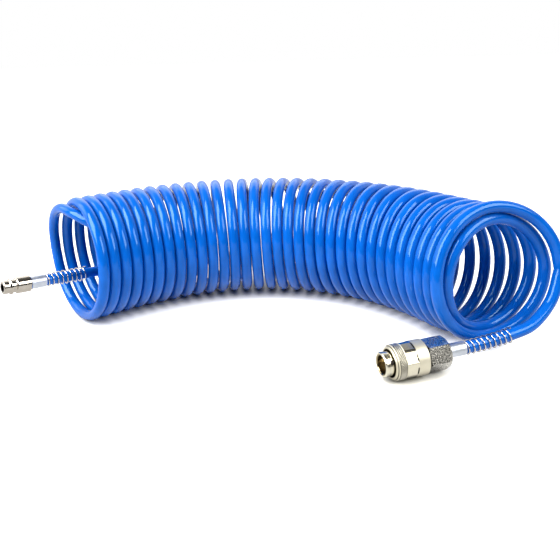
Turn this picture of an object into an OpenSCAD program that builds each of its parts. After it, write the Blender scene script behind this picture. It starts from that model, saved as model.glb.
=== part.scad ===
// Coiled air hose with a quick coupler at one end and a plug at the other.
// The coil rests on the floor and bends round in a shallow arc, open side forward.
// Frame: +Z up, +X along the coil, -Y to the open side of the arc.
// Origin: on the floor, under the middle of the whole object's box.

/* [Hose] */
// Outside diameter of the hose
hose_od = 8; // [6:0.5:10]
// Bore of the hose
hose_id = 5; // [3:0.5:6]
// Diameter of the coil, to the middle of the hose
coil_d = 88; // [80:1:96]
// Gap between turns on the inner side of the arc
turn_gap = 0.6; // [0.5:0.1:1.2]

/* [Lie of the coil] */
// Half the number of turns that the shape below is spread over
half_turns = 16; // [16:1:18]
// Heading of the coil's axis at its middle, in degrees
yaw_mid = -8; // [-20:1:0]
// Degrees that the axis turns between the middle and either end
swing = 63; // [50:1:70]
// Extra turning at both ends, same way, in degrees
swing_skew = 7; // [0:1:10]
// Turning that is given back near the ends, in degrees
swing_ease = 11; // [5:1:15]
// How far the tops of the middle turns lean back along the axis
lean_mid = 4; // [0:0.5:6]
// Extra lean towards the coupler end
lean_skew = 6; // [0:0.5:8]
// Radius that the last turn gains where it has slipped over its neighbour
slip_out = 4.4; // [4.2:0.1:5]
// Share of a turn that it has slipped back
slip_back = 0.6; // [0.4:0.05:0.7]
// Height that the last turns are lifted by the coupler
end_rise = 4.5; // [3:0.5:5]
// Height that the last turns lose as they sag
end_sag = 2.5; // [1:0.5:3]

/* [Coupler socket] */
// Bore that takes the plug's shoulder
socket_bore = 12; // [11.8:0.1:12.2]
// Outside diameter of the nose behind its front ring
nose_d = 15.6; // [15.4:0.1:15.8]
// Outside diameter of the nose's front ring
nose_ring_d = 16.2; // [16:0.1:16.6]
// Depth of the wide bore
socket_depth = 8.6; // [8.4:0.1:8.8]
// Bore that takes the plug's tip
tip_bore = 9.8; // [9.7:0.1:10]
// Length of the socket body, nose to rear face
socket_len = 29; // [29:0.5:32]
// Diameter of a locking ball
ball_d = 2.8; // [2.6:0.1:2.9]
// Distance of the balls from the nose
ball_at = 4.4; // [4.2:0.1:4.6]
// Number of locking balls
ball_count = 3; // [3]

/* [Locking sleeve] */
// Outside diameter of the sleeve
sleeve_od = 23; // [22.5:0.5:25]
// Distance of the sleeve's front from the nose, with the sleeve held back
sleeve_at = 5.6; // [5.5:0.1:6.5]
// Travel of the sleeve towards the nose
sleeve_travel = 4.5; // [4:0.1:4.5]

/* [Rear adapter] */
// Across the flats of the hexagon
hex_af = 19; // [18:0.5:20]
// Length of the hexagon
hex_len = 16; // [14:0.5:19]

/* [Plug] */
// Diameter of the plug's tip
tip_d = 9.6; // [9.4:0.1:9.7]
// Diameter of the ridge that the balls hold
ridge_d = 11.6; // [11.4:0.1:11.7]
// Diameter of the groove that the balls drop into
groove_d = 9.4; // [9:0.1:9.4]
// Diameter of the plug's shoulder
shoulder_d = 11.8; // [11.6:0.1:11.9]
// Length of the plug in front of its ferrule
plug_len = 19.5; // [18.5:0.1:21]
// Bore of the plug at its tip
plug_bore = 5.5; // [5:0.1:5.8]

/* [Hose ends] */
// Wall of a ferrule
ferrule_wall = 0.6; // [0.5:0.05:1]
// Length of the coupler's ferrule
coupler_ferrule_len = 13.6; // [12:0.1:16]
// Length of the plug's ferrule
plug_ferrule_len = 11.3; // [10:0.1:14]
// Length of the kink spring behind the coupler's ferrule
coupler_kink_len = 36; // [34:0.5:40]
// Length of the kink spring behind the plug's ferrule
plug_kink_len = 33; // [31:0.5:38]
// Wire of a kink spring
kink_wire = 0.9; // [0.8:0.05:1]
// Curls of a kink spring
kink_curls = 9; // [8:1:9]
// Widening of the coupler's kink spring towards its free end, on the radius
coupler_kink_flare = 0.2; // [0.1:0.1:0.6]
// Widening of the plug's kink spring towards its free end, on the radius
plug_kink_flare = 0.6; // [0.3:0.1:1]
// Upward bend of the hose inside the coupler's kink spring, in degrees
coupler_bend = 9; // [6:1:12]

/* [Hidden] */
$fn = 64;

// Colours
hose_blue = [0.06, 0.33, 0.90];
nickel = [0.80, 0.77, 0.68];
bright = [0.78, 0.80, 0.83];
steel = [0.72, 0.73, 0.75];
rubber = [0.10, 0.10, 0.11];
brass = [0.75, 0.60, 0.30];

// Clearances
run_gap = 0.05;      // running fit, on the radius
loose_gap = 0.1;     // free air between pieces that pass each other
cut = 0.5;           // how far a cutter passes the face that it opens

hose_r = hose_od / 2;
coil_r = coil_d / 2;

// ---- Coil: its axis is laid down turn by turn, u = 0 at the middle ----
rings = 16;                                   // rings of points in a turn
turn_first = -half_turns - 0.5 + 0.5 / rings; // the coil starts and ends at its back
turn_last = half_turns + 1.5 - 0.5 / rings;
axis_from = -half_turns - 2;
axis_to = half_turns + 2;
steps = 8;                                    // axis steps in a turn

function u_of(k) = k / half_turns;
function heading(k) = let (u = u_of(k)) yaw_mid - swing * u - swing_skew * u * u
    + swing_ease * u * u * u;
function turning(k) = let (u = u_of(k))       // degrees per turn
    (swing + 2 * swing_skew * u - 3 * swing_ease * u * u) / half_turns;
function pitch(k) = hose_od + turn_gap + coil_r * turning(k) * PI / 180;

axis_n = (axis_to - axis_from) * steps;
function step_k(i) = axis_from + (i + 0.5) / steps;
axis_raw = [for (i = 0, p = [0, 0, 0]; i <= axis_n;
    p = p + pitch(step_k(i)) / steps * [cos(heading(step_k(i))), sin(heading(step_k(i))), 0],
    i = i + 1) p];
axis_mid = [8, 58, 0];           // the middle of the axis, seen from the origin
axis_start = axis_mid - axis_raw[-axis_from * steps];
function axis_at(k) = let (f = (k - axis_from) * steps, i = min(floor(f), axis_n - 1))
    axis_start + axis_raw[i] + (axis_raw[i + 1] - axis_raw[i]) * (f - i);

// The last turn has slipped outwards and back over the one before it.
slip_mid = half_turns + 1.125;
slip_half = 0.375;
function bump(x) = abs(x) < 1 ? cos(90 * x) : 0;
function slip(k) = bump((k - slip_mid) / slip_half) - bump((k - slip_mid + 1) / slip_half);
function ramp(k, from, over) = min(max((k - from) / over, 0), 1);
rise_from = half_turns - 3.5;
rise_over = 3.25;
lean_from = half_turns - 4;
lean_over = 4;
lean_lost = 0.75;      // share of the lean that the bottoms of the last turns lose

function coil_point(k) = let (s = slip(k), a = 360 * k,
    r = (coil_r + slip_out * sin(90 * s)), h = heading(k - slip_back * s * abs(s)),
    g = pow(ramp(k, rise_from, rise_over), 2),
    lean = -(lean_mid + lean_skew * u_of(k)) * sin(a)
        * (1 - lean_lost * ramp(k, lean_from, lean_over) * (1 - sin(a)) / 2))
    axis_at(k - slip_back * s * abs(s))
    + r * cos(a) * [sin(h), -cos(h), 0]
    + lean * [cos(h), sin(h), 0]
    + [0, 0, coil_r + hose_r + end_rise * g + (r - end_sag * g) * sin(a)];

function unit(v) = v / norm(v);
function coil_dir(k) = unit(coil_point(k + 0.01) - coil_point(k - 0.01));
function coil_out(k) = let (a = 360 * k, h = heading(k), t = coil_dir(k),
    o = cos(a) * [sin(h), -cos(h), 0] + sin(a) * [0, 0, 1]) unit(o - (o * t) * t);

// Each ring has flats inside and outside, and the area of the round hose.
flat_half = hose_r * (PI / 2 - 1);
section = [[hose_r, flat_half], [hose_r, -flat_half], [0, -hose_r],
    [-hose_r, -flat_half], [-hose_r, flat_half], [0, hose_r]];
function ring_at(p, out, side, shape) = [for (q = shape) p + q[0] * out + q[1] * side];

coil_segments = round((turn_last - turn_first) * rings);
function coil_k(i) = turn_first + i / rings;
// The chords of the rings lie on the true circle at their middles.
grow = 1 / cos(180 / rings) - 1;
function coil_ring(k, along) = let (t = coil_dir(k), o = coil_out(k),
    p = coil_point(k) + along * t + grow * coil_r * o)
    ring_at(p, o, cross(t, o), section);
coil_rings = concat([coil_ring(coil_k(0), -hose_od)],
    [for (i = [0:coil_segments]) coil_ring(coil_k(i), 0)],
    [coil_ring(coil_k(coil_segments), hose_od)]);
coil_centres = [for (r = coil_rings) (r[0] + r[3]) / 2];

// ---- A tube through rings of points ----
module skin(rows) {
    n = len(rows[0]);
    last = len(rows) - 1;
    points = [for (row = rows, p = row) p];
    sides = [for (i = [0:last - 1], j = [0:n - 1]) let (k = (j + 1) % n)
        each [[i * n + j, i * n + k, (i + 1) * n + k], [i * n + j, (i + 1) * n + k, (i + 1) * n + j]]];
    start = [for (j = [1:n - 2]) [0, j + 1, j]];
    end = [for (j = [1:n - 2]) [last * n, last * n + j, last * n + j + 1]];
    polyhedron(points = points, faces = concat(sides, start, end), convexity = 10);
}

// Rings of a tube along a line of points; each ring's frame follows from the one before.
function turned(o, t) = unit(o - (o * t) * t);
function frames(path, dirs, o) = [for (i = 0, v = turned(o, dirs[0]); i < len(path);
    i = i + 1, v = i < len(path) ? turned(v, dirs[i]) : v) v];
function mid_dir(path, i) = unit(path[min(i + 1, len(path) - 1)] - path[max(i - 1, 0)]);
function disc(r, n) = [for (j = [0:n - 1]) r * [cos(360 * j / n), -sin(360 * j / n)]];
module tube(path, r, n, first, last) {
    dirs = [for (i = [0:len(path) - 1])
        i == 0 ? first : i == len(path) - 1 ? last : mid_dir(path, i)];
    outs = frames(path, dirs, [0.31, 0.47, 0.83]);
    skin([for (i = [0:len(path) - 1])
        ring_at(path[i], outs[i], cross(dirs[i], outs[i]), disc(r, n))]);
}

// A smooth line through chosen points
function between(a, b, c, d, t) = 0.5 * (2 * b + (c - a) * t + (2 * a - 5 * b + 4 * c - d) * t * t
    + (3 * b - a - 3 * c + d) * t * t * t);
function smooth(p, n) = let (m = len(p) - 1) concat([for (i = [0:m - 1], j = [0:n - 1])
    between(i == 0 ? 2 * p[0] - p[1] : p[i - 1], p[i], p[i + 1],
        i == m - 1 ? 2 * p[m] - p[m - 1] : p[i + 2], j / n)], [p[m]]);

// ---- Fittings: local +Z runs from the fitting's tip to the hose, local -X is up ----
coupler_yaw = 15.5;
coupler_tilt = 1.5;
plug_yaw = 44;
plug_tilt = -7;
function aim(yaw, tilt) = [cos(tilt) * cos(yaw), cos(tilt) * sin(yaw), sin(tilt)];
function carry(yaw, tilt, p) = p[0] * [sin(tilt) * cos(yaw), sin(tilt) * sin(yaw), -cos(tilt)]
    + p[1] * [-sin(yaw), cos(yaw), 0] + p[2] * aim(yaw, tilt);

gasket_len = 0.4;
hex_at = socket_len + gasket_len;
coupler_hose_at = hex_at + hex_len;
coupler_spring_at = coupler_hose_at + coupler_ferrule_len;
plug_spring_at = plug_len + plug_ferrule_len;
plug_bend = 0.01;

// The middle of the hose behind a ferrule bends up by `bend` degrees over the length `len`.
function bent(bend, len, s) = s * bend / len;
function bent_middle(bend, len, s) = let (r = len / bend * 180 / PI, a = bent(bend, len, s))
    [-r * (1 - cos(a)), 0, r * sin(a)];
function bent_point(bend, len, s, r, turn) = let (a = bent(bend, len, s))
    bent_middle(bend, len, s) + r * (cos(turn) * [-cos(a), 0, -sin(a)] + sin(turn) * [0, -1, 0]);

// The free end of each kink spring keeps its place beside the end of the coil.
coil_start = coil_centres[0];
coil_end = coil_centres[len(coil_centres) - 1];
start_middle = axis_at(turn_first) + [0, 0, coil_r + hose_r];
coupler_free_end = [0, 0, coupler_spring_at] + bent_middle(coupler_bend, coupler_kink_len, coupler_kink_len);
plug_free_end = [0, 0, plug_spring_at + plug_kink_len];
coupler_from_end = [-0.9, -0.51];              // in radii of the coil
plug_from_start = [0.17, -0.06, -0.22];
coupler_xy = coil_end + coil_r * [coupler_from_end[0], coupler_from_end[1], 0]
    - carry(coupler_yaw, coupler_tilt, coupler_free_end);
// The sleeve's front edge rests on the floor.
sleeve_edge = 1.8;
coupler_z = sleeve_od / 2 - (sleeve_at + sleeve_edge) * sin(coupler_tilt);
coupler_tip = [coupler_xy[0], coupler_xy[1], coupler_z];
plug_tip = start_middle + coil_r * plug_from_start - carry(plug_yaw, plug_tilt, plug_free_end);
module at_coupler() {
    translate(coupler_tip) rotate([0, -coupler_tilt, coupler_yaw]) rotate([0, 90, 0]) children();
}
module at_plug() {
    translate(plug_tip) rotate([0, -plug_tilt, plug_yaw]) rotate([0, 90, 0]) children();
}

// ---- Routes of the tails, from the fitting to the coil ----
coupler_dir = aim(coupler_yaw, coupler_tilt);
plug_dir = aim(plug_yaw, plug_tilt);
tail_sides = 12;
tail_step = 3;       // rings in each stretch between two points
run_step = 3;        // stretches inside a kink spring
function sheathed(tip, yaw, tilt, hose_at, spring_at, bend, len) = concat(
    [tip + carry(yaw, tilt, [0, 0, hose_at])],
    [for (i = [0:run_step]) tip + carry(yaw, tilt, [0, 0, spring_at]
        + bent_middle(bend, len, i / run_step * len))]);
// Points beside the coil's end and round its start, in hundredths of the coil's radius
coupler_tail_points = [[-54, -41, -72], [-20, -21, -42]];
plug_tail_points = [[30, 12, -26], [42, 35, -33], [66, 100, -52], [110, 139, -53], [159, 145, -41],
    [195, 126, -20], [210, 92, 3], [201, 55, 22], [172, 24, 33], [128, 1, 37],
    [101, -9, 43], [72, -16, 55], [39, -13, 71], [4, 3, 85], [-25, 32, 87],
    [-48, 61, 69], [-61, 79, 35]];
coupler_tail_path = smooth(concat(sheathed(coupler_tip, coupler_yaw, coupler_tilt, coupler_hose_at,
    coupler_spring_at, coupler_bend, coupler_kink_len),
    [for (p = coupler_tail_points) coil_end + p * coil_r / 100], [coil_end]), tail_step);
plug_tail_path = smooth(concat(sheathed(plug_tip, plug_yaw, plug_tilt, plug_len,
    plug_spring_at, plug_bend, plug_kink_len),
    [for (p = plug_tail_points) start_middle + p * coil_r / 100], [coil_start]), tail_step);

// ---- Hose ----
module hose_coil() {
    color(hose_blue) skin(coil_rings);
}
module hose_tail_coupler() {
    color(hose_blue) tube(coupler_tail_path, hose_r, tail_sides, coupler_dir,
        -coil_dir(coil_k(coil_segments)));
}
module hose_tail_plug() {
    color(hose_blue) tube(plug_tail_path, hose_r, tail_sides, plug_dir, coil_dir(coil_k(0)));
}

// ---- Coupler ----
nose_r = nose_d / 2;
nose_ring_len = 2.4;
body_r = nose_r + 0.4;            // behind the flange
sleeve_r = sleeve_od / 2;
sleeve_len = socket_len - sleeve_at;
sleeve_inner_r = sleeve_r - 1.9;
ball_out = socket_bore / 2 + ball_d / 2;
mouth_r = ball_out + ball_d / 2 + loose_gap;
land_len = 3;                     // the part of the sleeve that holds the balls in
land_at = ball_at + sleeve_travel;
land_end = land_at + land_len;
cone_len = 1.3;
flange_len = 2.4;
ring_len = 1;
ring_at_z = sleeve_at + sleeve_len - 2;
flange_end = ring_at_z - sleeve_travel - run_gap;
flange_r = sleeve_inner_r - run_gap;
seat_at = socket_depth + 4.4;     // the valve's seat
chamber_r = 6.2;
spigot_len = 5.5;
spigot_r = chamber_r - run_gap;
seal_at = socket_depth + 2;
seal_wire = 1.6;
seal_r = tip_d / 2 + seal_wire / 2 - loose_gap;
ball_first = 236;                 // angle of the first ball round the nose

module profile(points) {
    rotate_extrude() polygon(points);
}

module socket_body() {
    bore_r = socket_bore / 2;
    tip_r = tip_bore / 2;
    color(nickel) at_coupler() difference() {
        profile([[bore_r + 0.5, 0], [nose_ring_d / 2 - 0.6, 0], [nose_ring_d / 2, 0.6],
            [nose_ring_d / 2, nose_ring_len - 0.3], [nose_r, nose_ring_len], [nose_r, flange_end - flange_len],
            [flange_r, flange_end - flange_len],
            [flange_r, flange_end], [body_r, flange_end], [body_r, socket_len],
            [chamber_r, socket_len], [chamber_r, seat_at], [tip_r, seat_at],
            [tip_r, seal_at + seal_wire / 2 + loose_gap], [seal_r + seal_wire / 2 + run_gap,
                seal_at + seal_wire / 2 + loose_gap], [seal_r + seal_wire / 2 + run_gap,
                seal_at - seal_wire / 2 - loose_gap], [tip_r, seal_at - seal_wire / 2 - loose_gap],
            [tip_r, socket_depth + 0.6], [bore_r, socket_depth - 0.6], [bore_r, 0.5]]);
        for (i = [0:ball_count - 1])
            rotate([0, 0, ball_first + i * 360 / ball_count]) translate([bore_r - 1, 0, ball_at])
                rotate([0, 90, 0]) cylinder(r = ball_d / 2 + run_gap, h = nose_r - bore_r + 2);
    }
}

module locking_ball(i) {
    color(steel) at_coupler() rotate([0, 0, ball_first + i * 360 / ball_count])
        translate([ball_out, 0, ball_at]) sphere(d = ball_d);
}

waist_at = sleeve_at + 7.4;
waist_len = 7.5;
waist_r = sleeve_r * cos(14.5);   // middle of a flat
lip_r = sleeve_r - 0.9;
lip_len = 0.9;
knurl_at = sleeve_at + 1.9;
knurl_depth = 0.25;
module locking_sleeve() {
    back = sleeve_at + sleeve_len;
    color(nickel) at_coupler() difference() {
        profile([[mouth_r, sleeve_at], [lip_r - 0.5, sleeve_at], [lip_r, sleeve_at + 0.5],
            [lip_r, sleeve_at + lip_len], [lip_r - 0.4, sleeve_at + lip_len],
            [lip_r - 0.4, sleeve_at + lip_len + 0.4], [sleeve_r - 0.5, sleeve_at + lip_len + 0.4],
            [sleeve_r, sleeve_at + sleeve_edge], [sleeve_r, knurl_at],
            [sleeve_r - knurl_depth, knurl_at + knurl_depth],
            [sleeve_r - knurl_depth, waist_at - 0.3 - knurl_depth], [sleeve_r, waist_at - 0.3],
            [sleeve_r, back - 0.8], [sleeve_r - 0.6, back], [sleeve_inner_r, back],
            [sleeve_inner_r, ring_at_z + ring_len + run_gap],
            [sleeve_inner_r + 0.5, ring_at_z + ring_len + run_gap],
            [sleeve_inner_r + 0.5, ring_at_z], [sleeve_inner_r, ring_at_z],
            [sleeve_inner_r, land_end], [nose_r + run_gap, land_end], [nose_r + run_gap, land_at],
            [mouth_r, land_at - cone_len]]);
        // eight flats round the waist
        for (a = [12:45:327]) rotate([0, 0, a])
            translate([waist_r, -sleeve_r, waist_at]) cube([sleeve_r, sleeve_od, waist_len]);
    }
}

module sleeve_stop_ring() {
    color(steel) at_coupler() translate([0, 0, ring_at_z]) difference() {
        cylinder(r = sleeve_inner_r + 0.45, h = ring_len);
        translate([0, 0, -cut]) cylinder(r = body_r + loose_gap, h = ring_len + 2 * cut);
        // the gap that lets the ring spring into its groove
        translate([0, -1, -cut]) cube([sleeve_od, 2, ring_len + 2 * cut]);
    }
}

// Points of a wound wire: its radius goes from r1 to r2 while it climbs from z1 to z2,
// with a straight end, one wire long, at z1.
curl_rings = 8;
wound_grow = 1.04;     // brings the middle of the chords back to the wanted radius
function wire_point(i, n, r1, r2, z1, z2) = let (f = i / n)
    [(r1 + (r2 - r1) * f) * cos(360 * i / curl_rings), (r1 + (r2 - r1) * f) * sin(360 * i / curl_rings),
        z1 + (z2 - z1) * f];
module wound(r1, r2, z1, z2, wire, curls) {
    n = curls * curl_rings;
    path = concat([[r1, 0, z1]], [for (i = [0:n]) wire_point(i, n, r1, r2, z1 + wire, z2 - wire / 2)]);
    tube(path, wire / 2, 6, [0, 0, 1], unit(path[n + 1] - path[n]));
}

sleeve_wire = 0.9;
module sleeve_spring() {
    mid = sleeve_inner_r - loose_gap - sleeve_wire / 2;
    color(steel) at_coupler() wound(mid, mid, land_end, flange_end - flange_len, sleeve_wire, 3);
}

module plug_seal() {
    color(rubber) at_coupler() translate([0, 0, seal_at]) rotate_extrude()
        translate([seal_r, 0]) circle(d = seal_wire, $fn = 32);
}

poppet_nose_r = seal_r - seal_wire / 2 - 0.4;
seal_len = 1.2;
head_len = 2.2;
poppet_at = seat_at - 3.4;
head_at = seat_at + seal_len;
head_end = head_at + head_len;
stem_len = 4.2;
stem_r = 1.8;
module valve_poppet() {
    color(brass) at_coupler() difference() {
        profile([[0, poppet_at], [poppet_nose_r - 0.6, poppet_at], [poppet_nose_r, poppet_at + 0.6],
            [poppet_nose_r, head_at], [chamber_r - 0.3, head_at], [chamber_r - 0.3, head_end],
            [stem_r, head_end], [stem_r, head_end + stem_len - 0.4], [stem_r - 0.4, head_end + stem_len],
            [0, head_end + stem_len]]);
        // slots that let the air past the head
        for (a = [0:120:240]) rotate([0, 0, a]) translate([stem_r + 1.6, -1, head_at - 1])
            cube([chamber_r, 2, head_len + 2]);
    }
}
module valve_seal() {
    color(rubber) at_coupler() translate([0, 0, seat_at]) difference() {
        cylinder(r = chamber_r - 0.3, h = seal_len);
        translate([0, 0, -cut]) cylinder(r = poppet_nose_r + run_gap, h = seal_len + 2 * cut);
    }
}
valve_wire = 0.8;
module valve_spring() {
    r = stem_r + 0.4 + valve_wire / 2;
    color(steel) at_coupler() wound(r, r, head_end, socket_len - spigot_len, valve_wire, 3);
}

module adapter_gasket() {
    color(rubber) at_coupler() translate([0, 0, socket_len]) difference() {
        cylinder(r = body_r, h = gasket_len);
        translate([0, 0, -cut]) cylinder(r = spigot_r + run_gap, h = gasket_len + 2 * cut);
    }
}

// Barbed stem inside the hose, three rings that bite into its bore
barb_len = 3.2;
stem_core_r = hose_id / 2 - 0.3;
function barbs(z) = [for (i = [0:2]) each [[stem_core_r, z + i * barb_len],
    [hose_id / 2 + 0.15, z + i * barb_len + 0.6], [hose_id / 2 + 0.15, z + i * barb_len + 1]]];

air_r = 1.5;
module rear_adapter() {
    corner_r = hex_af / cos(30) / 2;
    color(nickel) at_coupler() difference() {
        union() {
            // the hexagon, with both ends turned to a chamfer
            intersection() {
                translate([0, 0, hex_at]) rotate([0, 0, 34]) cylinder(r = corner_r, h = hex_len, $fn = 6);
                profile([[0, hex_at], [hex_af / 2 - 0.2, hex_at], [corner_r + 0.1, hex_at + 1],
                    [corner_r + 0.1, hex_at + hex_len - 1.8], [hex_af / 2 - 0.8, hex_at + hex_len],
                    [0, hex_at + hex_len]]);
            }
            translate([0, 0, socket_len - spigot_len]) cylinder(r = spigot_r, h = spigot_len + 1);
            profile(concat([[0, coupler_hose_at - 1], [stem_core_r, coupler_hose_at - 1]],
                barbs(coupler_hose_at + 0.4), [[stem_core_r, coupler_hose_at + 0.4 + 3 * barb_len],
                [0, coupler_hose_at + 0.4 + 3 * barb_len]]));
        }
        translate([0, 0, socket_len - spigot_len - cut])
            cylinder(r = stem_r + 0.7, h = spigot_len + hex_len / 2);
        cylinder(r = air_r, h = coupler_hose_at + 4 * barb_len);
    }
}

// ---- Pieces that both ends have ----
ferrule_r = hose_r + ferrule_wall;
module ferrule(z, len) {
    color(bright) translate([0, 0, z]) profile([[hose_r + run_gap, 0], [ferrule_r - 0.2, 0],
        [ferrule_r, 0.2], [ferrule_r, len - 0.3], [ferrule_r - 0.3, len], [hose_r + run_gap, len]]);
}
// The kink spring's wire starts with a straight end, one wire long, at the ferrule.
module kink_spring(z, bend, len, flare) {
    r = (hose_r + 0.15 + kink_wire / 2) * wound_grow;
    n = kink_curls * curl_rings;
    path = concat([bent_point(bend, len, 0, r, 0)], [for (i = [0:n])
        bent_point(bend, len, kink_wire + (len - 1.5 * kink_wire) * i / n, r + flare * i / n,
            360 * i / curl_rings)]);
    color(steel) translate([0, 0, z]) tube(path, kink_wire / 2, 6, [0, 0, 1], unit(path[n + 1] - path[n]));
}
module coupler_ferrule() {
    at_coupler() ferrule(coupler_hose_at, coupler_ferrule_len);
}
module coupler_kink_spring() {
    at_coupler() kink_spring(coupler_spring_at, coupler_bend, coupler_kink_len, coupler_kink_flare);
}

// ---- Plug ----
tip_len = 3.9;
ridge_at = 5;
ridge_end = 5.7;
groove_at = 6.2;
groove_end = 8.6;
shoulder_at = 9.5;
module plug_nipple() {
    tip_r = tip_d / 2;
    ridge_r = ridge_d / 2;
    groove_r = groove_d / 2;
    shoulder_r = shoulder_d / 2;
    color(nickel) at_plug() difference() {
        profile(concat([[0, 0], [tip_r - 0.5, 0], [tip_r, 0.5], [tip_r, tip_len], [ridge_r, ridge_at],
            [ridge_r, ridge_end], [groove_r, groove_at], [groove_r, groove_end],
            [shoulder_r, shoulder_at], [shoulder_r, plug_len - 0.9], [shoulder_r - 0.7, plug_len],
            [stem_core_r, plug_len]], barbs(plug_len + 0.4),
            [[stem_core_r, plug_len + 0.4 + 3 * barb_len], [0, plug_len + 0.4 + 3 * barb_len]]));
        translate([0, 0, -cut]) cylinder(d = plug_bore, h = plug_len - 4 + cut);
        cylinder(r = air_r, h = plug_len + 4 * barb_len);
    }
}
module plug_ferrule() {
    at_plug() ferrule(plug_len, plug_ferrule_len);
}
module plug_kink_spring() {
    at_plug() kink_spring(plug_spring_at, plug_bend, plug_kink_len, plug_kink_flare);
}

// ---- Measures printed with each build ----
function length_of(p, i = 0) = i >= len(p) - 1 ? 0 : norm(p[i + 1] - p[i]) + length_of(p, i + 1);
near = rings / 2;
coil_least = min([for (i = [0:len(coil_rings) - 1], j = [i + near:min(i + 3 * rings, len(coil_rings) - 1)])
    if (norm(coil_centres[i] - coil_centres[j]) < 2 * hose_od)
        min([for (p = coil_rings[i], q = coil_rings[j]) norm(p - q)])]);
echo(coil_length = length_of(coil_centres), coil_least_gap = coil_least);
echo(tail_lengths = [length_of(coupler_tail_path), length_of(plug_tail_path)]);
echo(kink_spring_gaps = [coupler_kink_len, plug_kink_len] / kink_curls - [kink_wire, kink_wire],
    sleeve_spring_gap = (flange_end - flange_len - land_end - 1.5 * sleeve_wire) / 3 - sleeve_wire,
    valve_spring_gap = (socket_len - spigot_len - head_end - 1.5 * valve_wire) / 3 - valve_wire);

hose_coil();
hose_tail_coupler();
hose_tail_plug();
socket_body();
locking_sleeve();
sleeve_stop_ring();
sleeve_spring();
locking_ball(0);  // locking_ball_1
locking_ball(1);  // locking_ball_2
locking_ball(2);  // locking_ball_3
plug_seal();
valve_poppet();
valve_seal();
valve_spring();
adapter_gasket();
rear_adapter();
coupler_ferrule();
coupler_kink_spring();
plug_nipple();
plug_ferrule();
plug_kink_spring();
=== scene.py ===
"""Coiled air hose: looks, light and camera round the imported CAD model."""

import math

import bmesh
import bpy
from mathutils import Matrix, Vector


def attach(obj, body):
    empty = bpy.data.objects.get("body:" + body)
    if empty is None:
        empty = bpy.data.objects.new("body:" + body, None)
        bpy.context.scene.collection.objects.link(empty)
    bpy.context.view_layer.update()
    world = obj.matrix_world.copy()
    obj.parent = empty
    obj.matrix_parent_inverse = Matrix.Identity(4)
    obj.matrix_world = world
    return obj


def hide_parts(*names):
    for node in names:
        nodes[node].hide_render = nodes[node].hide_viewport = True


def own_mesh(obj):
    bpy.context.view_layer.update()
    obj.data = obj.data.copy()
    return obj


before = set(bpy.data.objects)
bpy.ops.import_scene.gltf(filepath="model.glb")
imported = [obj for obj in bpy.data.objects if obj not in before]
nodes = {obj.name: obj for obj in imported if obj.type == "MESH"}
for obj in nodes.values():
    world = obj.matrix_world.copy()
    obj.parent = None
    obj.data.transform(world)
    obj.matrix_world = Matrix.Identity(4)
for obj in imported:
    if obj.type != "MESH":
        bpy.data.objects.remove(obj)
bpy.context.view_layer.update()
MM = 0.001
BODY = "hose"


# ---- Points of the hose, the same as in part.scad (millimetres) ----
HOSE_R = 4.0
COIL_R = 44.0
GAP = 0.6
HALF = 16
YAW_MID, SWING, SKEW, EASE = -8.0, 63.0, 7.0, 11.0
LEAN_MID, LEAN_SKEW, LEAN_LOST, LEAN_LOST_OVER = 4.0, 6.0, 0.75, 4
SLIP_OUT, SLIP_BACK, SLIP_OVER = 4.4, 0.6, 0.375
END_RISE, END_SAG, END_FROM, END_OVER = 4.5, 2.5, 3.5, 3.25
RINGS = 16
AXIS_MID = Vector((8, 58, 0))
TURN_FIRST = -HALF - 0.5 + 0.5 / RINGS
TURN_LAST = HALF + 1.5 - 0.5 / RINGS


def heading(k):
    """The direction of the coil's middle line at turn k, in degrees."""
    u = k / HALF
    return YAW_MID - SWING * u - SKEW * u * u + EASE * u ** 3


def pitch(k):
    """The length of the coil's middle line from turn to turn, with the gap on the inner side."""
    u = k / HALF
    turning = (SWING + 2 * SKEW * u - 3 * EASE * u * u) / HALF
    return 2 * HOSE_R + GAP + COIL_R * math.radians(turning)


AXIS_FROM, AXIS_TO, STEPS = -HALF - 2, HALF + 2, 8
axis = [Vector((0, 0, 0))]
for i in range((AXIS_TO - AXIS_FROM) * STEPS):
    k = AXIS_FROM + (i + 0.5) / STEPS
    h = math.radians(heading(k))
    axis.append(axis[-1] + Vector((math.cos(h), math.sin(h), 0)) * (pitch(k) / STEPS))
axis_zero = axis[-AXIS_FROM * STEPS]
axis = [p - axis_zero + AXIS_MID for p in axis]


def axis_at(k):
    f = (k - AXIS_FROM) * STEPS
    i = min(int(math.floor(f)), len(axis) - 2)
    return axis[i].lerp(axis[i + 1], f - i)


def bump(x):
    return math.cos(math.radians(90 * x)) if abs(x) < 1 else 0.0


def ramp(k, start, over):
    return min(max((k - start) / over, 0), 1)


def coil_point(k):
    """A point of the coil; its last turn slips outside the one before."""
    s = bump((k - HALF - 1.125) / SLIP_OVER) - bump((k - HALF - 0.125) / SLIP_OVER)
    a = math.radians(360 * k)
    r = COIL_R + SLIP_OUT * math.sin(math.radians(90 * s))
    back = k - SLIP_BACK * s * abs(s)
    h = math.radians(heading(back))
    g = ramp(k, HALF - END_FROM, END_OVER) ** 2
    lean = -(LEAN_MID + LEAN_SKEW * k / HALF) * math.sin(a)
    lean *= 1 - LEAN_LOST * ramp(k, HALF - LEAN_LOST_OVER, LEAN_LOST_OVER) * (1 - math.sin(a)) / 2
    height = COIL_R + HOSE_R + END_RISE * g + (r - END_SAG * g) * math.sin(a)
    return (axis_at(back)
            + Vector((math.sin(h), -math.cos(h), 0)) * (r * math.cos(a))
            + Vector((math.cos(h), math.sin(h), 0)) * lean
            + Vector((0, 0, height)))


def coil_dir(k):
    return (coil_point(k + 0.01) - coil_point(k - 0.01)).normalized()


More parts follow.
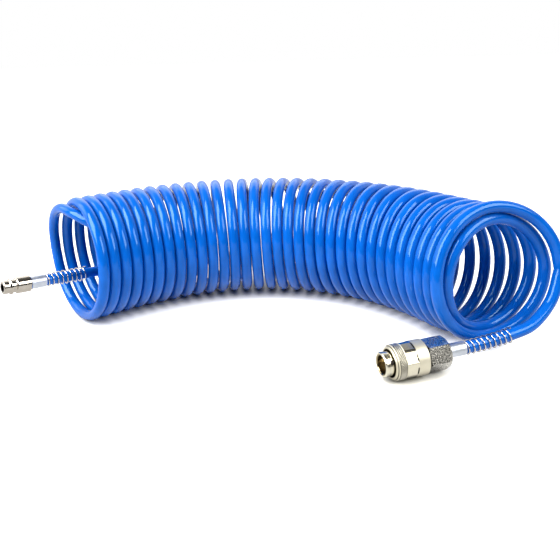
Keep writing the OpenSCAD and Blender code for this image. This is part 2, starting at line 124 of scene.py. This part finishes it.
def smooth(points, steps):
    """A line through the points, the same kind as in the source."""
    p = [2 * points[0] - points[1]] + list(points) + [2 * points[-1] - points[-2]]
    out = []
    for i in range(1, len(p) - 2):
        a, b, c, d = p[i - 1], p[i], p[i + 1], p[i + 2]
        for j in range(steps):
            t = j / steps
            out.append(0.5 * (2 * b + (c - a) * t + (2 * a - 5 * b + 4 * c - d) * t * t
                              + (3 * b - a - 3 * c + d) * t ** 3))
    return out + [p[-2]]


# Places of the two fittings: local +Z runs from the fitting's tip to the hose
C_TIP, C_YAW, C_TILT = Vector((62.307, -98.973, 11.306)), 15.5, 1.5
P_TIP, P_YAW, P_TILT = Vector((-193.119, -42.082, 46.095)), 44, -7
C_HOSE, C_FERRULE, C_KINK, C_BEND, C_FLARE = 45.4, 13.6, 36.0, 9.0, 0.2
P_HOSE, P_FERRULE, P_KINK, P_BEND, P_FLARE = 19.5, 11.3, 33.0, 0.01, 0.6
CURLS, WIRE, WIRE_SLACK = 9, 0.9, 0.15


def fitting_frame(tip, yaw, tilt):
    return (Matrix.Translation(tip) @ Matrix.Rotation(math.radians(yaw), 4, "Z")
            @ Matrix.Rotation(math.radians(90 - tilt), 4, "Y"))


AT_C = fitting_frame(C_TIP, C_YAW, C_TILT)
AT_P = fitting_frame(P_TIP, P_YAW, P_TILT)


def bent_point(bend, span, s, r=0.0, turn=0.0):
    """A point beside the middle of the hose where it bends up inside a kink spring."""
    big, a = span / math.radians(bend), math.radians(bend * s / span)
    return (Vector((-big * (1 - math.cos(a)), 0, big * math.sin(a)))
            + r * (math.cos(turn) * Vector((-math.cos(a), 0, -math.sin(a)))
                   + math.sin(turn) * Vector((0, -1, 0))))


def sheathed(at, hose_at, ferrule, bend, span):
    """The hose's middle line from the fitting, through its ferrule and kink spring."""
    run = [Vector((0, 0, hose_at)), Vector((0, 0, hose_at + ferrule / 2))]
    end = Vector((0, 0, hose_at + ferrule))
    return [at @ p for p in run + [end + bent_point(bend, span, span * i / 3) for i in range(4)]]


# Points of the tails in hundredths of the coil's radius, from the coil's end and start
COUPLER_TAIL = [(-54, -41, -72), (-20, -21, -42)]
PLUG_TAIL = [(30, 12, -26), (42, 35, -33), (66, 100, -52), (110, 139, -53), (159, 145, -41),
             (195, 126, -20), (210, 92, 3), (201, 55, 22), (172, 24, 33), (128, 1, 37),
             (101, -9, 43), (72, -16, 55), (39, -13, 71), (4, 3, 85), (-25, 32, 87),
             (-48, 61, 69), (-61, 79, 35)]
END_AT = Vector((193.2, -51.2, 53.2))
START_MIDDLE = Vector((-155.05, 4.55, 48))
COIL_STUB = 8
TAIL_STEPS = 8
PER_TURN = 72


def tail(sheath, centre, points, joint):
    """A tail's line from its fitting to the coil."""
    free = [centre + Vector(p) * COIL_R / 100 for p in points]
    return smooth(sheath + free + [joint], TAIL_STEPS)


coupler_tail = tail(sheathed(AT_C, C_HOSE, C_FERRULE, C_BEND, C_KINK), END_AT, COUPLER_TAIL,
                    coil_point(TURN_LAST) + COIL_STUB * coil_dir(TURN_LAST))
plug_tail = tail(sheathed(AT_P, P_HOSE, P_FERRULE, P_BEND, P_KINK), START_MIDDLE, PLUG_TAIL,
                 coil_point(TURN_FIRST) - COIL_STUB * coil_dir(TURN_FIRST))
n = round((TURN_LAST - TURN_FIRST) * PER_TURN)
coil = [coil_point(TURN_LAST + (TURN_FIRST - TURN_LAST) * i / n) for i in range(n + 1)]
route = coupler_tail + coil + plug_tail[::-1]


# ---- Camera: its place (mm), its angles, and the picture's centre and focal length (pixels) ----
EYE = Vector((-8.9, -422.1, 205.8))
DOWN, ROLL = 0.305, -0.026
PICTURE, CENTRE_X, CENTRE_Y, FOCAL, SENSOR = 560, 263.7, 226.6, 585.6, 36
cam = bpy.data.objects.new("camera", bpy.data.cameras.new("camera"))
bpy.context.scene.collection.objects.link(cam)
bpy.context.scene.camera = cam
level = Vector((1, 0, 0))
look = Vector((0, math.cos(DOWN), -math.sin(DOWN)))
upright = Vector((0, math.sin(DOWN), math.cos(DOWN)))
right = level * math.cos(ROLL) + upright * math.sin(ROLL)
up = -level * math.sin(ROLL) + upright * math.cos(ROLL)
turned = Matrix((right, up, -look)).transposed().to_4x4()
cam.matrix_world = Matrix.Translation(EYE * MM) @ turned
cam.data.sensor_width = SENSOR
cam.data.lens = FOCAL / PICTURE * SENSOR
cam.data.shift_x = (PICTURE / 2 - CENTRE_X) / PICTURE
cam.data.shift_y = -(PICTURE / 2 - CENTRE_Y) / PICTURE
cam.data.clip_start, cam.data.clip_end = 0.01, 20
bpy.context.scene.view_settings.view_transform = "Standard"


# ---- Shader helpers: each returns the output socket that it ends in ----
def material(name):
    m = bpy.data.materials.new(name)
    m.use_nodes = True
    nt = m.node_tree
    return m, nt, nt.nodes["Principled BSDF"]


def node(nt, kind, **values):
    nd = nt.nodes.new(kind)
    for key, value in values.items():
        if key in nd.inputs:
            nd.inputs[key].default_value = value
        else:
            setattr(nd, key, value)
    return nd


def noise(nt, scale, detail=3.0, rough=0.5):
    nz = node(nt, "ShaderNodeTexNoise", Scale=scale, Detail=detail, Roughness=rough)
    nt.links.new(node(nt, "ShaderNodeTexCoord").outputs["Object"], nz.inputs["Vector"])
    return nz.outputs["Fac"]


def rgba(value):
    """A colour of three numbers, or a grey of one."""
    return (*value, 1) if isinstance(value, tuple) else (value, value, value, 1)


def ramped(nt, source, low, high, pos=(0.35, 0.65)):
    cr = node(nt, "ShaderNodeValToRGB")
    for stop, place, value in zip(cr.color_ramp.elements, pos, (low, high)):
        stop.position = place
        stop.color = rgba(value)
    nt.links.new(source, cr.inputs["Fac"])
    return cr.outputs["Color"]


def bumped(nt, bsdf, height, distance, strength):
    bp = node(nt, "ShaderNodeBump", Strength=strength, Distance=distance)
    nt.links.new(height, bp.inputs["Height"])
    nt.links.new(bp.outputs["Normal"], bsdf.inputs["Normal"])


def ranged(nt, source, start, end, low, high):
    mr = node(nt, "ShaderNodeMapRange")
    for i, v in enumerate((start, end, low, high)):
        mr.inputs[i + 1].default_value = v
    nt.links.new(source, mr.inputs[0])
    return mr.outputs[0]


def math_node(nt, operation, first, second):
    nd = node(nt, "ShaderNodeMath", operation=operation)
    nt.links.new(first, nd.inputs[0])
    nt.links.new(second, nd.inputs[1])
    return nd.outputs[0]


def vector_node(nt, operation, source, value=None):
    nd = node(nt, "ShaderNodeVectorMath", operation=operation)
    nt.links.new(source, nd.inputs[0])
    if value is not None:
        nd.inputs[1].default_value = value
    return nd


def mixed(nt, factor, low, high):
    """low where the factor is 0 and high where it is 1; each is a colour or an output."""
    mix = node(nt, "ShaderNodeMix", data_type="RGBA")
    nt.links.new(factor, mix.inputs[0])
    for socket, value in ((mix.inputs[6], low), (mix.inputs[7], high)):
        if isinstance(value, tuple):
            socket.default_value = rgba(value)
        else:
            nt.links.new(value, socket)
    return mix.outputs[2]


def place_on(nt, at):
    """A surface point's distance from a fitting's middle line, and from its tip along the line."""
    here = node(nt, "ShaderNodeTexCoord").outputs["Object"]
    off = vector_node(nt, "SUBTRACT", here, at.translation * MM).outputs[0]
    line = at.to_3x3() @ Vector((0, 0, 1))
    across = vector_node(nt, "LENGTH", vector_node(nt, "CROSS_PRODUCT", off, line).outputs[0])
    along = vector_node(nt, "DOT_PRODUCT", off, line)
    return across.outputs["Value"], along.outputs["Value"]


# ---- Materials ----
def hose_material():
    """Glossy blue polyurethane."""
    m, nt, b = material("hose_blue")
    color = ramped(nt, noise(nt, 60, 2), (0.0012, 0.095, 0.46), (0.0024, 0.112, 0.53))
    nt.links.new(color, b.inputs["Base Color"])
    fine = noise(nt, 400)
    nt.links.new(ramped(nt, fine, 0.05, 0.12), b.inputs["Roughness"])
    b.inputs["IOR"].default_value = 1.5
    b.inputs["Specular IOR Level"].default_value = 0.42
    b.inputs["Specular Tint"].default_value = (0.60, 0.93, 1.0, 1)
    bumped(nt, b, fine, 0.00002, 0.3)
    return m


def metal(name, low, high, rough=(0.10, 0.22), grain=1800, depth=0.00003, strength=0.5,
          recess_shade=None, satin=None, flats_end_shade=None, mottle=120, spread=(0.35, 0.65)):
    """Metal between two colours (mottle, spread) and two roughnesses (grain, depth, strength).

    recess_shade, painted shade in bores and knurl valleys: a fitting, the radius inside which
    it is dark, the one outside which it is bright, and the dark colour. satin: a fitting, the
    shiny stretch's start and end along it, and the roughness added beyond them.
    flats_end_shade, a painted shade band where the flats end at their wall: a fitting, the
    start of the dark band along it, the greatest radius that the band reaches, and its
    colour. Lengths in millimetres.
    """
    m, nt, b = material(name)
    base = ramped(nt, noise(nt, mottle), low, high, spread)
    # Painted shade: darker inside a radius, in the fitting's bores and knurl valleys
    if recess_shade:
        at, r_dark, r_bright, dark = recess_shade
        base = mixed(nt, ranged(nt, place_on(nt, at)[0], r_dark * MM, r_bright * MM, 0, 1),
                     dark, base)
    # Painted shade: a dark band on the flats where they end at their wall
    if flats_end_shade:
        at, start, r_most, dark = flats_end_shade
        across, along = place_on(nt, at)
        outside = ranged(nt, across, (r_most - 0.02) * MM, r_most * MM, 0, 1)
        before = ranged(nt, along, (start - 0.05) * MM, start * MM, 1, 0)
        base = mixed(nt, math_node(nt, "MAXIMUM", outside, before), dark, base)
    nt.links.new(base, b.inputs["Base Color"])
    grains = noise(nt, grain, 4, 0.6)
    roughness = ramped(nt, grains, *rough)
    if satin:
        at, start, end, more = satin
        along = place_on(nt, at)[1]
        for edges in ((start - 0.2, start, more, 0), (end, end + 0.2, 0, more)):
            part = ranged(nt, along, edges[0] * MM, edges[1] * MM, *edges[2:])
            roughness = math_node(nt, "ADD", roughness, part)
    nt.links.new(roughness, b.inputs["Roughness"])
    b.inputs["Metallic"].default_value = 1.0
    bumped(nt, b, grains, depth, strength)
    return m


def rubber():
    m, nt, b = material("seal_rubber")
    fine = noise(nt, 900)
    color = ramped(nt, fine, (0.010, 0.010, 0.011), (0.030, 0.030, 0.032))
    nt.links.new(color, b.inputs["Base Color"])
    b.inputs["Roughness"].default_value = 0.55
    bumped(nt, b, fine, 0.00003, 0.4)
    return m


# Radii at which a fitting goes from painted shade inside its bores and knurl valleys to bright
# outside, and the coupler's flats, which end in a painted shade band
SOCKET_BORE, LIP_BORE, KNURL_VALLEY, PLUG_BORE = (6.6, 6.9), (9.0, 9.3), (11.31, 11.42), (2.9, 3.1)
SHINY_FROM, SHINY_TO, FLATS_END, FLATS_R = 13.0, 20.5, 19.75, 11.44

HOSE = hose_material()
NICKEL = (0.79, 0.735, 0.57), (0.87, 0.82, 0.65)
# Below, the bores and the knurl's valleys get painted shade, and the sleeve a painted shade band
# where its flats end
NICKEL_BODY = metal("nickel_body", *NICKEL, (0.16, 0.28),
                    recess_shade=(AT_C, *SOCKET_BORE, (0.38, 0.31, 0.18)))
NICKEL_SLEEVE = metal("nickel_sleeve", *NICKEL, recess_shade=(AT_C, *LIP_BORE, (0.05, 0.04, 0.025)),
                      satin=(AT_C, SHINY_FROM, SHINY_TO, 0.36),
                      flats_end_shade=(AT_C, FLATS_END, FLATS_R, (0.016, 0.012, 0.009)))
NICKEL_PLUG = metal("nickel_plug", (0.50, 0.455, 0.39), (0.60, 0.555, 0.49), (0.08, 0.18),
                    recess_shade=(AT_P, *PLUG_BORE, (0.03, 0.025, 0.02)))
NICKEL_KNURL = metal("nickel_knurl", (0.90, 0.85, 0.69), (0.95, 0.90, 0.76), (0.30, 0.40),
                     recess_shade=(AT_C, *KNURL_VALLEY, (0.05, 0.042, 0.028)))
# Near-black nickel for the painted shade ring behind the sleeve's lip
NICKEL_SHADE = metal("nickel_painted_shade", (0.014, 0.010, 0.007), (0.022, 0.017, 0.012), (0.55, 0.65))
NICKEL_SAND = metal("nickel_sand", (0.50, 0.48, 0.42), (0.98, 0.95, 0.86), (0.2, 0.3),
                    1600, 0.00008, 0.9, mottle=1100, spread=(0.42, 0.60))
ZINC = metal("zinc", (0.62, 0.66, 0.72), (0.74, 0.775, 0.83), (0.38, 0.48), 900, 0.00003, 0.3)
STEEL = metal("spring_steel", (0.60, 0.58, 0.55), (0.74, 0.72, 0.69), (0.12, 0.25),
              1500, 0.00002, 0.3)
# The balls are near black: painted shade of their holes in the socket
BALL_STEEL_SHADED = metal("ball_steel_shaded", (0.04, 0.035, 0.03), (0.07, 0.065, 0.06), (0.12, 0.22),
                   1500, 0.00001, 0.2)
BRASS = metal("valve_brass", (0.62, 0.42, 0.16), (0.76, 0.56, 0.26), (0.2, 0.35))
RUBBER = rubber()


# ---- Pieces ----
def link(obj, mat, body=BODY):
    bpy.context.scene.collection.objects.link(obj)
    obj.data.materials.append(mat)
    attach(obj, body)
    return obj


def tube(name, points, radius, mat, round_steps, body=BODY, swell=None):
    """A round tube along the points; swell gives each point's share of the radius."""
    c = bpy.data.curves.new(name, "CURVE")
    c.dimensions = "3D"
    c.bevel_depth = radius * MM
    c.bevel_resolution = round_steps
    c.use_fill_caps = True
    c.twist_mode = "MINIMUM"
    s = c.splines.new("POLY")
    s.points.add(len(points) - 1)
    for sp, p in zip(s.points, points):
        sp.co = (*(p * MM), 1)
    for sp, share in zip(s.points, swell or ()):
        sp.radius = share
    s.use_smooth = True
    return link(bpy.data.objects.new(name, c), mat, body)


def kink_spring(name, at, spring_at, bend, span, flare):
    """The round wire of a kink spring, which flares a little towards its free end."""
    r0 = HOSE_R + WIRE_SLACK + WIRE / 2
    per_curl = 28
    pts = []
    for i in range(CURLS * per_curl + 1):
        f = i / (CURLS * per_curl)
        z = WIRE / 2 + (span - WIRE) * f
        turn = 2 * math.pi * i / per_curl
        pts.append(at @ (Vector((0, 0, spring_at))
                         + bent_point(bend, span, z, r0 + flare * f, turn)))
    return tube(name, pts, WIRE / 2, STEEL, 4)


# The coil's turns stand a little thicker than the tails, which they meet over some points
SWELL, SWELL_OVER = 1.055, 40
first = len(coupler_tail)
last = first + len(coil) - 1
swell = [1 + (SWELL - 1) * max(0, min(1, (i - first) / SWELL_OVER, (last - i) / SWELL_OVER))
         for i in range(len(route))]
hose = tube("hose", route, HOSE_R, HOSE, 8, swell=swell)
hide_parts("hose_coil", "hose_tail_coupler", "hose_tail_plug")
coupler_spring = kink_spring("coupler_spring_wire", AT_C, C_HOSE + C_FERRULE,
                             C_BEND, C_KINK, C_FLARE)
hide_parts("coupler_kink_spring")
plug_spring = kink_spring("plug_spring_wire", AT_P, P_HOSE + P_FERRULE, P_BEND, P_KINK, P_FLARE)
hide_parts("plug_kink_spring")


def on_coupler(r, a, z):
    """A point at a radius, angle and distance from the tip of the coupler, in millimetres."""
    return AT_C @ Vector((r * math.cos(a), r * math.sin(a), z))


KNURL_FROM, KNURL_TO = 7.8, 12.4
KNURL_INNER, KNURL_LOW, KNURL_TOP = 11.2, 11.27, 11.5
KNURL_COUNT, KNURL_MAIN = 50, 0.85


def knurl_ring():
    """The band of fine slanting ridges round the sleeve, standing in its shallow groove."""
    cols, rows, fade_rows = KNURL_COUNT * 8, 32, 8
    height = KNURL_TO - KNURL_FROM
    slant = height / (2 * math.pi * KNURL_TOP / KNURL_COUNT)
    angles = [2 * math.pi * i / cols for i in range(cols)]
    me = bpy.data.meshes.new("sleeve_knurl")
    bm = bmesh.new()
    rings = []
    for j in range(rows + 1):
        v = j / rows
        fade = min(1, fade_rows * v, fade_rows * (1 - v))
        q = 2 * math.pi * slant * v
        ring = []
        for a in angles:
            p = KNURL_COUNT * a
            h = (KNURL_MAIN * math.cos((p + q) / 2) ** 2
                 + (1 - KNURL_MAIN) * math.cos((p - q) / 2) ** 2)
            r = KNURL_LOW + (KNURL_TOP - KNURL_LOW) * fade * h
            ring.append(bm.verts.new(on_coupler(r, a, KNURL_FROM + height * v) * MM))
        rings.append(ring)
    for z in (KNURL_TO, KNURL_FROM):
        rings.append([bm.verts.new(on_coupler(KNURL_INNER, a, z) * MM) for a in angles])
    rings.append(rings[0])
    for low, high in zip(rings, rings[1:]):
        for i in range(cols):
            k = (i + 1) % cols
            bm.faces.new((low[i], low[k], high[k], high[i]))
    bmesh.ops.recalc_face_normals(bm, faces=bm.faces)
    bm.to_mesh(me)
    bm.free()
    link(bpy.data.objects.new("sleeve_knurl", me), NICKEL_KNURL, "sleeve")


knurl_ring()

# A thin dark ring round the sleeve behind its lip: painted shade and dark reflection where
# the lip steps down, set in the groove there
LIP_LINE_AT, LIP_LINE_R, LIP_LINE_THICK, LIP_LINE_STEPS = 6.72, 10.5, 0.5, 96
tube("sleeve_lip_shade_ring", [on_coupler(LIP_LINE_R, 2 * math.pi * i / LIP_LINE_STEPS, LIP_LINE_AT)
                         for i in range(LIP_LINE_STEPS + 1)],
     LIP_LINE_THICK / 2, NICKEL_SHADE, 3, "sleeve")


def dress(names, mat):
    for name in names:
        slots = nodes[name].data.materials
        slots.clear()
        slots.append(mat)


dress(["socket_body"], NICKEL_BODY)
dress(["locking_sleeve"], NICKEL_SLEEVE)
dress(["plug_nipple"], NICKEL_PLUG)
dress(["rear_adapter"], NICKEL_SAND)
dress(["coupler_ferrule", "plug_ferrule"], ZINC)
dress(["sleeve_stop_ring", "sleeve_spring"], STEEL)
dress(["locking_ball_1", "locking_ball_2", "locking_ball_3"], BALL_STEEL_SHADED)
dress(["plug_seal", "valve_seal", "adapter_gasket"], RUBBER)
dress(["valve_poppet"], BRASS)

# The valve's spring as an object with a mesh of its own, in spring steel; the real spring
# shortens towards its seat in the adapter as the poppet goes back
spring_mesh = nodes["valve_spring"].data.copy()
spring_mesh.materials.clear()
valve_wire = link(bpy.data.objects.new("valve_spring_wire", spring_mesh), STEEL)
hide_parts("valve_spring")
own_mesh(valve_wire)


# ---- Floor ----
def light_path_mix(nt, ray, low, high):
    """high for the rays of this kind, and low for the others."""
    lp = nt.nodes.new("ShaderNodeLightPath")
    mx = nt.nodes.new("ShaderNodeMixShader")
    nt.links.new(lp.outputs[ray], mx.inputs["Fac"])
    nt.links.new(low, mx.inputs[1])
    nt.links.new(high, mx.inputs[2])
    return mx.outputs[0]


# The floor that the camera sees: (from colour, to colour, centre, from, to) in metres. Its
# paper is a little warmer and darker beside the coupler, a painted warm shade there, and its
# glow makes it white.
PAPER_SEEN_WARM_SHADE = (0.70, 0.68, 0.60), (0.70, 0.70, 0.70), (0.085, -0.10, 0), 0.03, 0.07
GLOW_SEEN = (0.80, 0.80, 0.81), (1.0, 1.0, 1.0), (0, 0, 0), 0.30, 0.9
PAPER = (0.7, 0.7, 0.7, 1)
SHADE_REACH, SHADE_DARK, SHADE_CLEAR = 0.013, 0.25, 0.75
FLOOR_HALF, FLOOR_DROP = 6, 0.0001


def shaded(nt, kind, spot, low, high, centre, start, end):
    """A shader whose colour goes from low to high with the distance from a centre."""
    shader = nt.nodes.new(kind)
    away = vector_node(nt, "DISTANCE", spot, centre).outputs["Value"]
    nt.links.new(mixed(nt, ranged(nt, away, start, end, 0, 1), low, high), shader.inputs["Color"])
    return shader


def floor_material():
    """White paper that stays white except close under the object.

    The camera sees lit paper with a glow on it. Gloss and transmission see a white of strength 1.
    Ambient occlusion takes both down close to the object, a painted contact shadow. Matt
    surfaces are lit by plain paper.
    """
    m = bpy.data.materials.new("floor_white")
    m.use_nodes = True
    nt = m.node_tree
    nt.nodes.clear()
    out = nt.nodes.new("ShaderNodeOutputMaterial")
    spot = node(nt, "ShaderNodeTexCoord").outputs["Object"]
    # Painted contact shadow: ambient occlusion dims the glow and the mirrored white
    near = node(nt, "ShaderNodeAmbientOcclusion", Distance=SHADE_REACH, samples=8)
    open_sky = ranged(nt, near.outputs["AO"], SHADE_DARK, SHADE_CLEAR, 0, 1)
    glow = shaded(nt, "ShaderNodeEmission", spot, *GLOW_SEEN)
    mirrored = node(nt, "ShaderNodeEmission")
    for shader in (glow, mirrored):
        nt.links.new(open_sky, shader.inputs["Strength"])
    seen = nt.nodes.new("ShaderNodeAddShader")
    paper_with_warm_shade = shaded(nt, "ShaderNodeBsdfDiffuse", spot, *PAPER_SEEN_WARM_SHADE)
    nt.links.new(paper_with_warm_shade.outputs[0], seen.inputs[0])
    nt.links.new(glow.outputs[0], seen.inputs[1])
    surface = node(nt, "ShaderNodeBsdfDiffuse", Color=PAPER).outputs[0]
    for ray, shown in (("Is Camera Ray", seen), ("Is Glossy Ray", mirrored),
                       ("Is Transmission Ray", mirrored)):
        surface = light_path_mix(nt, ray, surface, shown.outputs[0])
    nt.links.new(surface, out.inputs["Surface"])
    return m


def floor():
    me = bpy.data.meshes.new("floor")
    bm = bmesh.new()
    bmesh.ops.create_grid(bm, x_segments=1, y_segments=1, size=FLOOR_HALF)
    bm.to_mesh(me)
    bm.free()
    ob = bpy.data.objects.new("floor", me)
    bpy.context.scene.collection.objects.link(ob)
    ob.location = (0, 0, -FLOOR_DROP)
    me.materials.append(floor_material())


floor()


# ---- World and lights ----
WORLD_BACK, WORLD_FRONT, WORLD_TOP = 1.0, 0.02, 0.18


def studio_world():
    """A white backdrop behind the object in a dark studio; the camera sees white all round."""
    world = bpy.data.worlds.new("world")
    bpy.context.scene.world = world
    world.use_nodes = True
    nt = world.node_tree
    way = nt.nodes.new("ShaderNodeSeparateXYZ")
    nt.links.new(node(nt, "ShaderNodeTexCoord").outputs["Generated"], way.inputs[0])
    back = ranged(nt, way.outputs["Y"], 0.0, 0.45, WORLD_FRONT, WORLD_BACK)
    top = ranged(nt, way.outputs["Z"], 0.5, 0.85, 1.0, WORLD_TOP)
    bg = nt.nodes["Background"]
    bg.inputs["Color"].default_value = (1, 1, 1, 1)
    nt.links.new(math_node(nt, "MULTIPLY", back, top), bg.inputs["Strength"])
    white = node(nt, "ShaderNodeBackground", Color=(1, 1, 1, 1), Strength=1.0)
    nt.links.new(light_path_mix(nt, "Is Camera Ray", bg.outputs[0], white.outputs[0]),
                 nt.nodes["World Output"].inputs["Surface"])


studio_world()

LIT_MIDDLE = Vector((0, 0.02, 0.05))


def softbox(name, azimuth, height, far, size, radiance):
    """A softbox at an azimuth from the camera's side and a height, in degrees from the object."""
    a, e = math.radians(azimuth), math.radians(height)
    way = Vector((math.sin(a) * math.cos(e), -math.cos(a) * math.cos(e), math.sin(e)))
    ld = bpy.data.lights.new(name, "AREA")
    ld.shape = "RECTANGLE"
    ld.size, ld.size_y = size
    ld.energy = radiance * math.pi * size[0] * size[1]
    ob = bpy.data.objects.new(name, ld)
    ob.location = LIT_MIDDLE + far * way
    ob.rotation_euler = (-way).to_track_quat("-Z", "Y").to_euler()
    bpy.context.scene.collection.objects.link(ob)


softbox("left", -62, 45, 1.2, (0.70, 1.2), 10.7)
softbox("side", -102, 26, 1.2, (0.45, 0.65), 2.2)
softbox("right", 57, 38, 1.2, (0.68, 0.66), 8)
softbox("back", 180, 34, 1.3, (1.8, 0.7), 1.0)
